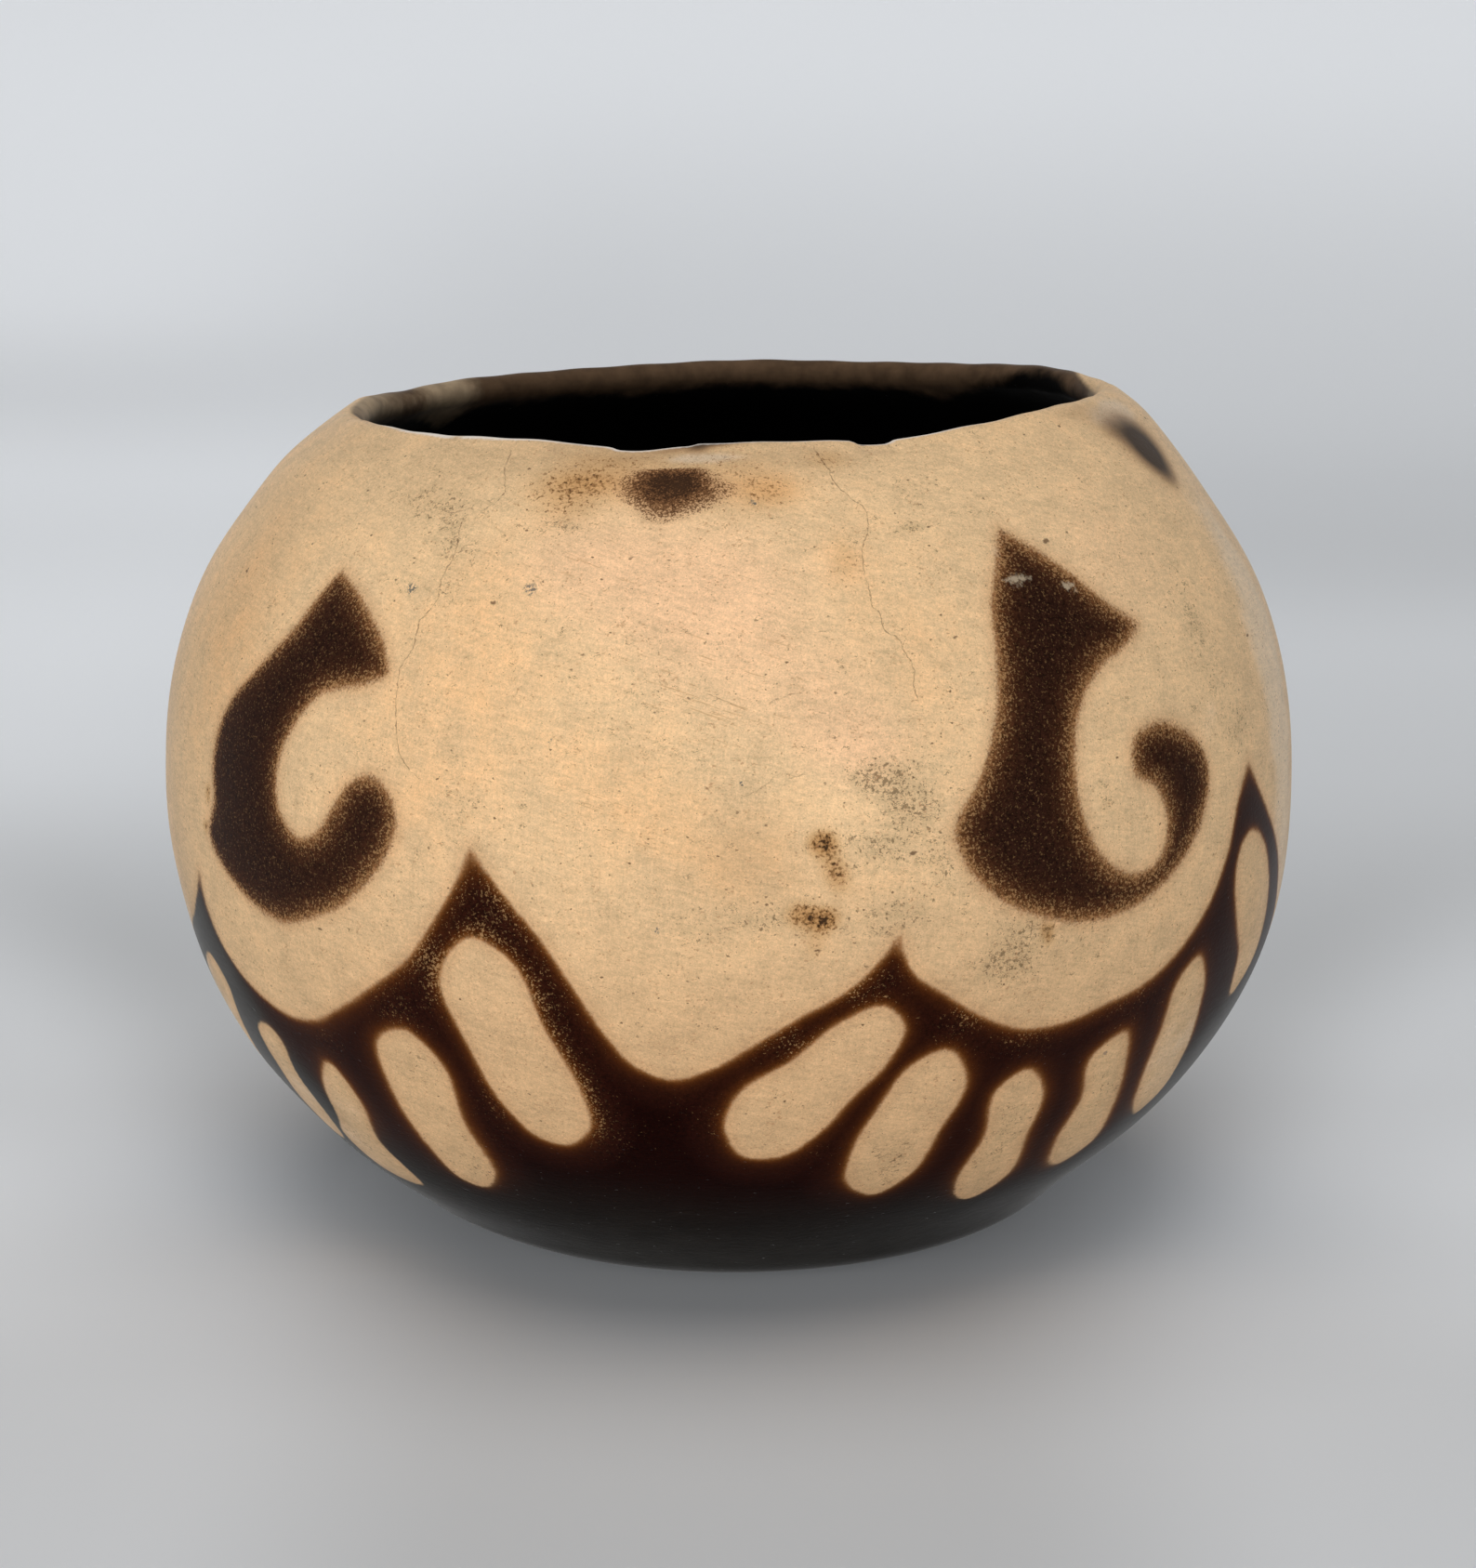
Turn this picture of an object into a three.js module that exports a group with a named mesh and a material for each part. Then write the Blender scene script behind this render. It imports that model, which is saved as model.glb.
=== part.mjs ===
// A painted bowl of unglazed clay, built by hand: a round base pad, coils of clay laid one on
// another round its edge, and a last coil that closes the wall in a thin rounded lip.
// Each piece keeps its own shape here, and its face lies on its neighbour's face.
// Millimetres, +Z up. The origin is the centre of the belly, down on the ground. The front is -Y.
import * as THREE from "three";
import { mergeVertices, toCreasedNormals } from "three/addons/utils/BufferGeometryUtils.js";

// Outer face of the wall, from the foot up to the mouth
const FOOT_RADIUS = 45.5; // the flat that the bowl stands on
const FOOT_ROUNDING = 15; // radius of the soft edge between that flat and the wall
const FOOT_FLARE = 40; // degrees by which the wall leaves the ground above that edge
const BELLY_RADIUS = 91.7;
const BELLY_HEIGHT = 72;
const MOUTH_RADIUS = 61.9; // where the outer face turns into the lip
const MOUTH_HEIGHT = 131.1;
const SHOULDER_FULLNESS = 2.15; // power of the superellipse over the belly; 2 is a plain ellipse

// Thickness of the clay
const FLOOR_THICKNESS = 7;
const WALL_THICKNESS = 5.5;
const LIP_THICKNESS = 4.5;

// How the clay is shared out, in widths measured up the outer face
const PAD_TURN_UP = 9; // edge of the base pad, bent up to start the wall
const WALL_COILS = 6;
const RIM_COIL_WIDTH = 14;
const LAP = 5; // each seam slopes down by this much towards the inside, where the coils are pressed together

// Marks of the hand
const FOOT_SHIFT = 0.9; // the foot sits this far to the right of the belly's centre
const OVAL = 0.5; // the wall is this much wider across one way, and narrower the other
const OVAL_DIRECTION = 30; // degrees round from the front
const RIM_TILT = 2; // the rim stands this much above its mean height at one side, and below it opposite
const RIM_TILT_DIRECTION = 75;
const RIM_WAVE = 0.6; // and rises and falls by this much round the mouth
const RIM_WAVES = 3;
const RIM_WAVE_DIRECTION = 65;

// How finely the curves are divided
const STEPS_ROUND = 64;
const STEPS_PER_COIL = 3;
const FOOT_STEPS = 4;
const LIP_STEPS = 6;

// Fired colours of the clay
const SMOKED_CLAY = { color: 0x2a1b14, roughness: 0.55, metalness: 0 };
const CREAM_SLIP = { color: 0xdfc295, roughness: 0.6, metalness: 0 };

const { degToRad, smoothstep, lerp } = THREE.MathUtils;

// The soft edge of the foot: an arc from the flat up to the start of the wall.
function footEdge() {
  const start = -Math.PI / 2;
  return new THREE.EllipseCurve(
    FOOT_RADIUS, FOOT_ROUNDING, FOOT_ROUNDING, FOOT_ROUNDING, start, start + degToRad(FOOT_FLARE),
  );
}

// The wall below the belly: a curve that leaves the foot's edge at its flare and is upright at
// the belly. Its middle point is where the lines along those two ends cross.
function lowerWall() {
  const flare = degToRad(FOOT_FLARE);
  const start = footEdge().getPoint(1);
  const crossing = new THREE.Vector2(BELLY_RADIUS, start.y + (BELLY_RADIUS - start.x) * Math.tan(flare));
  return new THREE.QuadraticBezierCurve(start, crossing, new THREE.Vector2(BELLY_RADIUS, BELLY_HEIGHT));
}

// The wall above the belly: a part of a superellipse that ends at the mouth.
class Shoulder extends THREE.Curve {
  getPoint(t, target = new THREE.Vector2()) {
    const power = 2 / SHOULDER_FULLNESS;
    const mouthShare = MOUTH_RADIUS / BELLY_RADIUS;
    const lastTurn = Math.acos(mouthShare ** (1 / power));
    const rise = (MOUTH_HEIGHT - BELLY_HEIGHT) / Math.sin(lastTurn) ** power;
    const turn = t * lastTurn;
    const radius = BELLY_RADIUS * Math.cos(turn) ** power;
    return target.set(radius, BELLY_HEIGHT + rise * Math.sin(turn) ** power);
  }
}

const outerFace = new THREE.CurvePath();
outerFace.add(footEdge());
outerFace.add(lowerWall());
outerFace.add(new Shoulder());
const wallLength = outerFace.getLength();
const rimStart = wallLength - RIM_COIL_WIDTH;
const coilWidth = (rimStart - PAD_TURN_UP) / WALL_COILS;

// Points of the two faces, by the distance up the outer face.
function outerPoint(distance) {
  return outerFace.getPoint(distance / wallLength);
}

function outwardNormal(distance) {
  const along = outerFace.getTangent(distance / wallLength);
  return new THREE.Vector2(along.y, -along.x);
}

function thicknessAt(distance) {
  const leavingFloor = smoothstep(distance, 0, PAD_TURN_UP + coilWidth);
  const nearingLip = smoothstep(distance, rimStart, wallLength);
  const wall = lerp(FLOOR_THICKNESS, WALL_THICKNESS, leavingFloor);
  return lerp(wall, LIP_THICKNESS, nearingLip);
}

function innerPoint(distance) {
  return outerPoint(distance).addScaledVector(outwardNormal(distance), -thicknessAt(distance));
}

function pointsBetween(from, to, steps, pointAt) {
  return Array.from({ length: steps + 1 }, (_, i) => pointAt(lerp(from, to, i / steps)));
}

// A coil's section between two distances: up the outer face, in over its sloping top seam, down
// the inner face, and out again over its sloping lower seam.
function coilSection(from, to, steps) {
  const outer = pointsBetween(from, to, steps, outerPoint);
  const inner = pointsBetween(to - LAP, from - LAP, steps, innerPoint);
  return [...outer, ...inner, outer[0].clone()];
}

// The base pad's section, from the axis out under the foot, up its turned edge and back over the floor.
function padSection() {
  const outer = pointsBetween(0, PAD_TURN_UP, FOOT_STEPS, outerPoint);
  const inner = pointsBetween(PAD_TURN_UP - LAP, 0, FOOT_STEPS, innerPoint);
  return [new THREE.Vector2(0, 0), ...outer, ...inner, new THREE.Vector2(0, FLOOR_THICKNESS)];
}

// The rim coil's section, with a half-round lip between its two faces.
function rimSection() {
  const outer = pointsBetween(rimStart, wallLength, STEPS_PER_COIL, outerPoint);
  const inner = pointsBetween(wallLength, rimStart - LAP, STEPS_PER_COIL, innerPoint);
  const outward = outwardNormal(wallLength);
  const middle = outerPoint(wallLength).addScaledVector(outward, -LIP_THICKNESS / 2);
  const lip = new THREE.EllipseCurve(
    middle.x, middle.y, LIP_THICKNESS / 2, LIP_THICKNESS / 2, outward.angle(), outward.angle() + Math.PI,
  ).getPoints(LIP_STEPS);
  return [...outer, ...lip.slice(1, -1), ...inner, outer[0].clone()];
}

// Two neighbours share a seam, but their sections run over it in opposite senses. Every quad's
// diagonal starts at the end that is further out, so both split the seam into the same triangles.
function matchDiagonals(geometry, section) {
  const index = geometry.index.array;
  const quadsPerStep = section.length - 1;
  for (let quad = 0; quad < index.length / 6; quad += 1) {
    const along = quad % quadsPerStep;
    if (section[along].x > section[along + 1].x) {
      const [a, b, d, c] = index.subarray(quad * 6, quad * 6 + 4);
      index.set([a, b, c, c, d, a], quad * 6);
    }
  }
}

// The hand-built unevenness, as a move of each point of the turned shape.
function unevenness(point) {
  const radius = Math.hypot(point.x, point.y);
  const round = Math.atan2(point.x, -point.y);
  const aboveFoot = smoothstep(point.z, 0, BELLY_HEIGHT);
  const aboveBelly = smoothstep(point.z, BELLY_HEIGHT, MOUTH_HEIGHT);
  const oval = OVAL * aboveFoot * (radius / BELLY_RADIUS) * Math.cos(2 * (round - degToRad(OVAL_DIRECTION)));
  const tilt = RIM_TILT * Math.cos(round - degToRad(RIM_TILT_DIRECTION));
  const wave = RIM_WAVE * Math.cos(RIM_WAVES * (round - degToRad(RIM_WAVE_DIRECTION)));
  return new THREE.Vector3(
    oval * Math.sin(round) + FOOT_SHIFT * (1 - aboveFoot),
    -oval * Math.cos(round),
    (tilt + wave) * aboveBelly,
  );
}

// Turns a section into one closed piece of clay, stood upright and made uneven.
function clayPiece(name, section, look) {
  const turned = new THREE.LatheGeometry(section, STEPS_ROUND);
  matchDiagonals(turned, section);
  turned.rotateX(Math.PI / 2);
  turned.deleteAttribute("normal");
  turned.deleteAttribute("uv");
  const closed = mergeVertices(turned);
  const position = closed.attributes.position;
  const point = new THREE.Vector3();
  for (let i = 0; i < position.count; i += 1) {
    point.fromBufferAttribute(position, i);
    point.add(unevenness(point));
    position.setXYZ(i, point.x, point.y, point.z);
  }
  const piece = new THREE.Mesh(toCreasedNormals(closed, degToRad(40)), new THREE.MeshStandardMaterial(look));
  piece.name = name;
  return piece;
}

const bowl = new THREE.Group();
bowl.add(clayPiece("base_pad", padSection(), SMOKED_CLAY));
for (let i = 0; i < WALL_COILS; i += 1) {
  const from = PAD_TURN_UP + i * coilWidth;
  const look = i === 0 ? SMOKED_CLAY : CREAM_SLIP;
  bowl.add(clayPiece(`wall_coil_${i + 1}`, coilSection(from, from + coilWidth, STEPS_PER_COIL), look));
}
bowl.add(clayPiece("rim_coil", rimSection(), CREAM_SLIP));

export default bowl;
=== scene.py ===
import math

import bpy
import numpy as np
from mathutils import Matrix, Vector


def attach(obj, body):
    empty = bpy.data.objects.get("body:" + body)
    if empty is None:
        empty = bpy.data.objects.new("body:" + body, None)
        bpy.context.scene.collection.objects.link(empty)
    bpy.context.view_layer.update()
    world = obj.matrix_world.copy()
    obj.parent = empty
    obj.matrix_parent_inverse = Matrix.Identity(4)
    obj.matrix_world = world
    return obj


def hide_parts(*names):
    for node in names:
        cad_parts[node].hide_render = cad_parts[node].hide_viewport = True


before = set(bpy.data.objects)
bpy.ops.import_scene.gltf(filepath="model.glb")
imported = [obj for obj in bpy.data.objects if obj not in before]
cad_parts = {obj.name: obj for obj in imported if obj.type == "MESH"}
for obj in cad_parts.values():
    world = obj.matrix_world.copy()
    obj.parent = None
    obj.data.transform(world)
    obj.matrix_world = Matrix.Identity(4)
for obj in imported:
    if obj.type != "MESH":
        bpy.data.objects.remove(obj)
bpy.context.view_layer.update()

MM = 0.001

# The same clay as in the solids
FOOT_RADIUS = 45.5
FOOT_ROUNDING = 15
FOOT_FLARE = 40
BELLY_RADIUS = 91.7
BELLY_HEIGHT = 72
MOUTH_RADIUS = 61.9
MOUTH_HEIGHT = 131.1
SHOULDER_FULLNESS = 2.15
FLOOR_THICKNESS = 7
WALL_THICKNESS = 5.5
LIP_THICKNESS = 4.5
PAD_TURN_UP = 9
WALL_COILS = 6
RIM_COIL_WIDTH = 14
LAP = 5
FOOT_SHIFT = 0.9
OVAL = 0.5
OVAL_DIRECTION = 30
RIM_TILT = 2
RIM_TILT_DIRECTION = 75
RIM_WAVE = 0.6
RIM_WAVES = 3
RIM_WAVE_DIRECTION = 65

# How finely the clay is divided
COLUMNS = 528
ROW = 1.1
PAD_ROW = 1.6
INNER_ROW = 3
RIM_INNER_ROW = 1.4
LIP_ROWS = 14
EDGE_STEPS = 300
WALL_STEPS = 1500

# How far from a painted edge and from a crack the distance to it is measured
PAINT_REACH = 12
CRACK_REACH = 3

# Slight swellings and hollows: degrees, mm up, half spread in degrees and in mm, mm outwards
SWELLINGS = [
    (92, 136, 26, 11, -1.1),
    (96, 156, 30, 6, 0.9),
    (-90, 128, 30, 16, 0.4),
    (-93, 150, 28, 9, 1.3),
    (-84, 48, 34, 19, 1.2),
    (86, 58, 26, 18, 1.3),
    (50, 15, 40, 13, -2.6),
    (-50, 9, 30, 10, -2.2),
    (-12, 118, 30, 22, 0.25),
    (150, 84, 40, 26, 0.4),
    (-140, 120, 34, 20, -0.4),
]

# Rises and dips of the rim: degrees, half spread in degrees, mm upwards
RIM_DIPS = [
    (-132, 16, 1),
    (-104, 12, 1.2),
    (-50, 18, -0.5),
    (-14, 7, -0.75),
    (24, 9, -1.15),
    (38, 8, -0.3),
    (122, 20, 1.3),
]

RIM_REACH = 16  # the rises and dips fade out this far below the lip

# Chips in the lip: first and last degree, mm deep
LIP_CHIPS = [(-16, -4.6, 0.35), (17.9, 23.4, 0.5)]
CHIP_EDGE = 0.8  # each end slopes over this many degrees to both sides
LIP_REACH = 2.2  # chips and small unevenness fade out this far below the lip

# Painted outlines on the wall
SHARP = True

LEFT_SCROLL = [
    (-45.8, 132.8, SHARP), (-41.5, 129.5), (-38.6, 126.2), (-36.3, 123), (-34.6, 118.4, SHARP),
    (-37.1, 116.8), (-42.9, 114.4), (-46.1, 108.9), (-47.8, 101.6), (-47, 95.2), (-44, 91.8),
    (-41.3, 93.4), (-39.6, 97), (-37.6, 101.3), (-35.2, 103.1), (-33.1, 101.5), (-31.9, 97.6),
    (-32.5, 93.5), (-34.8, 88.6), (-38.9, 83.2), (-43, 80.4), (-47.6, 78.4), (-52.8, 80),
    (-57.8, 84.1), (-60.5, 88.2), (-59.2, 94), (-59.7, 99.2), (-58.4, 107.5), (-53.7, 115.5),
    (-49.3, 123), (-47.1, 129.6),
]

RIGHT_SCROLL = [
    (31.3, 141.2, SHARP), (37.3, 134.3), (41.4, 128.2), (45, 124.1, SHARP), (42.6, 121.6),
    (38.4, 118.9), (35, 113.9), (33.5, 105.8), (34.4, 96.2), (37.2, 90), (41.3, 87.5),
    (44.1, 89.3), (45.1, 93.6), (43.6, 100), (40.9, 102.8), (41.1, 107.3), (44.4, 109.1),
    (48.5, 107), (51.1, 103.7), (51.7, 99.6), (50.5, 94.1), (47.6, 88.6), (43.4, 84.4),
    (38.8, 82.2), (34.4, 82), (29.6, 83.8), (24.8, 87.6), (21.5, 93.6), (20.7, 97.4),
    (23.2, 104.3), (25.4, 112.5), (26.7, 122.6), (27.4, 130), (29.5, 136.1),
]

# Upper edge of the dark ground, field by field, each from its left peak to just before its right one
LEFT_SCROLL_FIELD = [
    (-64.6, 80.6, SHARP), (-64.6, 77.6), (-63.2, 71.4), (-60.6, 67), (-56.4, 63.2), (-50.9, 60.8),
    (-46.5, 61.6), (-42.5, 64.6), (-36.5, 70.3), (-31.3, 76.3), (-28.1, 82.5), (-25.6, 88.6),
]
MIDDLE_FIELD = [
    (-23.8, 94.4, SHARP), (-20.5, 88), (-17.4, 82.3), (-14.7, 75.6), (-11.9, 67.8), (-9, 61.8),
    (-5.4, 59.5), (-1.4, 61.8), (3, 66.5), (7.1, 70.9), (11.1, 74.7), (14.1, 79.6),
]
RIGHT_SCROLL_FIELD = [
    (15.5, 82.9, SHARP), (16.9, 77.3), (20.7, 72.7), (25, 68.3), (29.6, 65.5), (34.4, 65.4),
    (39.1, 67.2), (44.2, 69.2), (48.3, 72.7), (52.6, 79), (55.4, 86.7), (57.3, 94.7),
]
NEXT_FIELD = [
    (59.9, 99.6, SHARP), (62.8, 94.4), (67.6, 87.1), (72.4, 79.6), (76, 72), (79.4, 63.8), (84.6, 60.2),
    (90, 62.6), (96.4, 70.6), (102.4, 79.2),
]

# Finger strokes, wiped out of the dark ground
LEFT_STROKES = [
    [(-24, 81.4), (-27.8, 75), (-26.2, 62.8), (-23.6, 51.2), (-20.9, 45.7), (-17.9, 44.5),
     (-14.4, 49.3), (-14.6, 56), (-17.6, 68.3), (-20, 78.1)],
    [(-33.4, 64.1), (-37.5, 61.3), (-38.4, 51.7), (-37.3, 37.8), (-35.9, 31.4), (-32.2, 30),
     (-29.3, 34.2), (-29.7, 47), (-29.9, 58.8)],
    [(-47.1, 53.5), (-50.8, 48.9), (-54.2, 39.5), (-58.7, 32), (-58.8, 26.4), (-51.6, 23.2),
     (-46.6, 24.8), (-47.6, 35.6), (-45.3, 46.1), (-46.1, 51.7)],
    [(-57.5, 57.2), (-60.6, 56.2), (-63.4, 45.5), (-66.4, 36.8), (-66.4, 30.6), (-62.2, 29.8),
     (-57.8, 37.6), (-57.1, 47.7), (-56, 55.3)],
    [(-68.1, 65.7), (-73, 63.4), (-77.8, 55), (-79.4, 46), (-75.6, 41), (-71, 46.6),
     (-67.4, 54.6), (-65.4, 61.9)],
]
RIGHT_STROKES = [
    [(14.6, 72), (10.7, 69.8), (6, 63.3), (1, 57.4), (-0.4, 51), (1.7, 43.8), (5.6, 43.7),
     (9.4, 48.4), (12.7, 56), (15.8, 62.4), (16.8, 68.4)],
    [(21.5, 63.7), (18.1, 61.4), (15.4, 53.7), (13.5, 45), (13.9, 36.7), (18, 32.5),
     (21.5, 36.9), (23.2, 47.6), (24.5, 57.6)],
    [(31.2, 57.9), (28.5, 55), (29.2, 44.6), (28.8, 33.4), (31.4, 27.3), (34.4, 26), (37.3, 31.3),
     (35.7, 42.6), (34.6, 53.4)],
    [(43.6, 61.3), (39.7, 57.6), (41.4, 48.9), (41.6, 40), (44.6, 32.1), (48, 30.5), (50.9, 34.6),
     (49.1, 43.8), (46.3, 53.9)],
    [(52.9, 71.3), (50.3, 68.6), (50.2, 58.9), (51.3, 50.4), (54.6, 42), (58.6, 38.6), (61.3, 42),
     (60.1, 49.6), (57.6, 59.4), (55.3, 67.6)],
    [(60.4, 88.9), (58.4, 87.2), (57.7, 83), (58.6, 78.2), (60.6, 73), (63.2, 67.8), (64.1, 63.6),
     (65.2, 60.2), (66.4, 59.8), (68.2, 61.6), (70.2, 65.2), (70.4, 70.4), (69, 76.6), (67, 81.4),
     (64.6, 85.8), (62.4, 88.2)],
]

# The side that isn't seen repeats the front: two more scroll fields and three plain ones, by their peaks
BACK_PEAKS = [(106.9, 89), (154.2, 95.5), (201, 86.5), (247.8, 92.5)]

# The middles of the scroll fields, in degrees
RIGHT_MIDDLE = 37.7
LEFT_MIDDLE = -44.1
BACK_RIGHT_MIDDLE = 130.6
BACK_LEFT_MIDDLE = -135.6

# Cracks that run down from the lip
CRACKS = [
    [(-30.6, 158), (-29.8, 154), (-28.1, 149), (-28.4, 147.8), (-30, 146.1), (-31.8, 144.8),
     (-31.5, 141.1), (-31, 138.7), (-31.1, 136.5), (-31.5, 134), (-31.1, 130.3), (-31.8, 128.4),
     (-32.4, 127), (-32.3, 123), (-33.3, 119.5), (-33.2, 116.6), (-32.7, 111.9), (-31.6, 106.5),
     (-29.5, 103.9)],
    [(11.6, 159.6), (11.9, 157.5), (12.8, 154.4), (13.1, 152), (14.3, 149.2), (16, 146.2),
     (15.6, 142.6), (14.4, 139.2), (14.3, 136), (14.5, 132.8), (14.6, 130.4), (15.2, 129.4),
     (15.2, 127.2), (16.5, 125.8), (17.3, 123), (17.9, 120.9), (17.6, 119.2), (18, 116.4)],
    [(141, 159), (140.2, 151), (142.4, 144), (141.6, 136), (143.2, 129)],
]
SCRATCHES = [
    [(1, 103.5), (3.1, 105), (4.4, 106.7)],
    [(3.6, 116.8), (5.2, 117.7), (6.9, 118.4)],
    [(4.9, 105.9), (6.8, 106.7)],
    [(-14.4, 93.5), (-13.2, 95)],
    [(8.8, 127), (10, 127.2)],
    [(-35.5, 145.3), (-33.5, 145), (-31.6, 146.2), (-29.2, 145)],
    [(-32.7, 140.1), (-31.2, 139.6), (-29, 139.8)],
    [(-1.9, 118.3), (0.4, 116.8), (1.7, 115.9)],
]

# Soft patches that the materials read: degrees, mm up, half spread in mm across and up, strength,
# and degrees of lean where it leans
PATCHES = {
    "fire_cloud": [
        (-8.6, 152.6, 4, 3.6, 1), (-4.8, 152.2, 3.2, 3, 0.85), (-7.4, 147.6, 4.2, 3, 0.5),
        (-12.4, 151, 3.4, 2.8, 0.22), (-2, 149.6, 3.6, 3, 0.3), (0.6, 151.6, 3.4, 2.4, 0.16),
        (-152, 148, 9, 6, 0.9, 10),
    ],
    "smooth_smoke": [
        (67.6, 152.4, 6.6, 4.8, 1.25), (67, 148.4, 4.8, 3.8, 0.9), (62.4, 155.4, 5, 2.6, 0.4),
        (67, 144.8, 3.4, 2.6, 0.3), (-3.6, 160.5, 5, 0.8, 1.2), (-8.6, 159.2, 5, 0.8, 0.4),
        (-3.8, 159.1, 1.6, 0.8, 0.8), (58, 160, 8, 2.4, 0.3),
    ],
    "stain": [
        (8.4, 97, 2.2, 1.9, 1.1), (9.6, 92.6, 2, 3.4, 0.75, 20), (6.4, 86.6, 2.4, 2, 0.8),
        (8.6, 85.8, 2.2, 1.8, 1.1), (7.8, 82, 2, 2.4, 0.4), (30.5, 81, 1.2, 2.2, 0.9, 20),
        (-60.9, 94.6, 1, 1.8, 0.8), (-61.6, 89.2, 0.9, 1.3, 0.8), (13, 156.5, 3.6, 2.6, 0.42),
        (-17, 152.5, 7, 2.6, 0.45), (-15, 157, 9, 2.6, 0.4), (5.5, 150.5, 5, 3.4, 0.36),
        (1, 147.6, 8, 5, 0.22), (-22, 151, 8, 4, 0.22), (0, 155, 8, 3.6, 0.3), (-19, 147.6, 7, 5, 0.4),
        (12.4, 138.2, 2.6, 4.6, 0.36), (-131, 96, 3, 3.6, 0.8, 20), (104, 122, 5, 2.6, 0.4),
    ],
    "grey_specks": [
        (-40, 147.6, 6.5, 3.6, 0.5), (-34.6, 145, 6, 4.4, 0.6), (-32.6, 139.6, 3.6, 3.6, 0.6),
        (-29.6, 133.6, 3.6, 4.6, 0.5), (-36, 133.4, 2.4, 2.4, 0.4), (12.8, 106, 4, 2.8, 1.1),
        (16.4, 102.6, 4.8, 5.6, 1), (13, 95.6, 5.4, 4, 0.7), (20, 92, 5, 6, 0.5), (15, 86, 6, 3.4, 0.7),
        (3, 86, 6, 3, 0.7), (-3, 84, 4, 3, 0.6), (27.6, 80.5, 6, 4.6, 0.95), (26, 75.6, 5, 3, 0.7),
        (35, 78, 4, 4, 0.5), (-19.4, 143.8, 4, 1.2, 1), (20.6, 142.9, 2.4, 1.1, 1.2),
        (22, 150, 5, 4, 0.5), (37, 99.6, 3, 3, 0.5), (54.5, 122, 3.2, 13, 0.6), (58.5, 106, 6, 5, 0.55),
        (-7.1, 118, 13, 9, 0.3), (-24.6, 100, 4, 6, 0.4), (-34, 106, 4, 4, 0.35),
        (-32.6, 57, 5, 3, 0.4), (-31.4, 37, 3.5, 6, 0.6), (-52, 34, 5, 6, 0.4), (18.6, 40, 4, 8, 0.65),
        (32.2, 45, 4, 9, 0.6), (45.5, 50, 4, 8, 0.6), (150, 116, 20, 14, 0.5), (-110, 132, 16, 9, 0.55),
        (-150, 92, 14, 10, 0.5),
    ],
    "orange": [
        (-24, 118, 20, 18, 0.35), (-8, 103, 14, 10, 0.5, -20), (-30, 100, 14, 12, 0.25),
        (-62, 118, 14, 24, 0.4), (-12, 152, 9, 4, 0.6), (4, 151, 7, 3.6, 0.8), (13, 139, 6, 9, 0.35),
        (17, 124, 10, 12, 0.3), (2, 94, 10, 6, 0.4), (-26, 136, 8, 10, 0.2), (176, 118, 30, 22, 0.7),
        (-120, 106, 24, 14, 0.5),
    ],
    "pink": [
        (-2, 132, 15, 13, 1), (-16, 138, 12, 9, 0.7), (12, 110, 8, 6, 0.7), (8, 118, 12, 8, 0.5),
        (45, 134, 16, 14, 0.4), (160, 130, 30, 16, 0.8),
    ],
    "dullness": [
        (-38, 149, 14, 8, 0.4), (22, 92, 12, 9, 0.35), (2, 100, 8, 10, 0.3), (-14, 158, 22, 6, 0.9),
        (12, 157, 14, 4, 0.5), (-64, 126, 16, 34, 0.5), (2, 92, 12, 8, 0.4), (24, 138, 12, 10, 0.25),
        (-110, 140, 18, 10, 0.7), (140, 100, 16, 10, 0.6),
    ],
    # Pale clay: the small patches are rubbed bare, the broad ones at both sides are a painted sheen
    "bare": [
        (31.4, 137.6, 4.6, 2, 0.7), (26.1, 113, 1, 1.2, 0.9), (-24.6, 84.5, 4, 0.7, 0.6, 30),
        (-3.2, 157.2, 7, 1.4, 1.1), (63, 157.4, 7, 3, 0.6), (53, 108, 5, 6, 0.45),
        (-13.5, 98, 7, 5, 0.35), (72, 112, 10, 34, 1.1), (76, 76, 12, 14, 0.4), (58, 56, 16, 18, 0.6),
        (-56, 42, 18, 18, 0.55), (-76, 60, 10, 20, 0.7), (70, 158, 8, 3, 0.8),
    ],
    # Where the paint is rubbed off
    "rubbed": [
        (31.2, 133.2, 3, 1.3, 1.2), (37.3, 131.3, 2.2, 1, 1.2, -20), (25.6, 112.6, 1, 1.6, 0.6),
    ],
    "burnish": [
        (-1, 120, 13, 7, 1), (-16, 136, 12, 6, 0.5), (-12, 99, 9, 6, 0.8), (170, 124, 20, 12, 0.8),
        (-104, 116, 16, 10, 0.8),
    ],
    # Above 0 where the clay is lighter than its colour says, and below 0 where it is darker: painted
    # light on the right side, painted shade along the top, on the left side and beside the foot, and tone
    # in the small ones
    "tone_and_painted_light": [
        (72, 98, 9, 42, 0.2), (56, 116, 14, 36, 0.05), (10, 101, 6, 8, 0.12), (20, 92, 6, 4, 0.1),
        (0, 100, 6, 8, -0.04), (-80, 106, 10, 12, -0.12), (-74, 72, 10, 18, -0.16),
        (-56, 40, 16, 14, -0.07), (-30, 157, 60, 5, -0.08), (-50, 11, 22, 9, -0.5),
        (70, 20, 14, 14, -0.4),
    ],
}
CLOUD_TOP = 155.4  # the fire clouds end at this height
BURNISH_LEAN = math.radians(-17)  # of the burnishing streaks

# How far the paint reaches out past its outline, in mm
PAINT_MOVES = [
    (-46, 103, 22, 28, 0.4), (38, 110, 22, 28, 0.14), (-24, 62, 40, 24, 0.14), (20, 55, 60, 26, 0.12),
]

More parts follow.
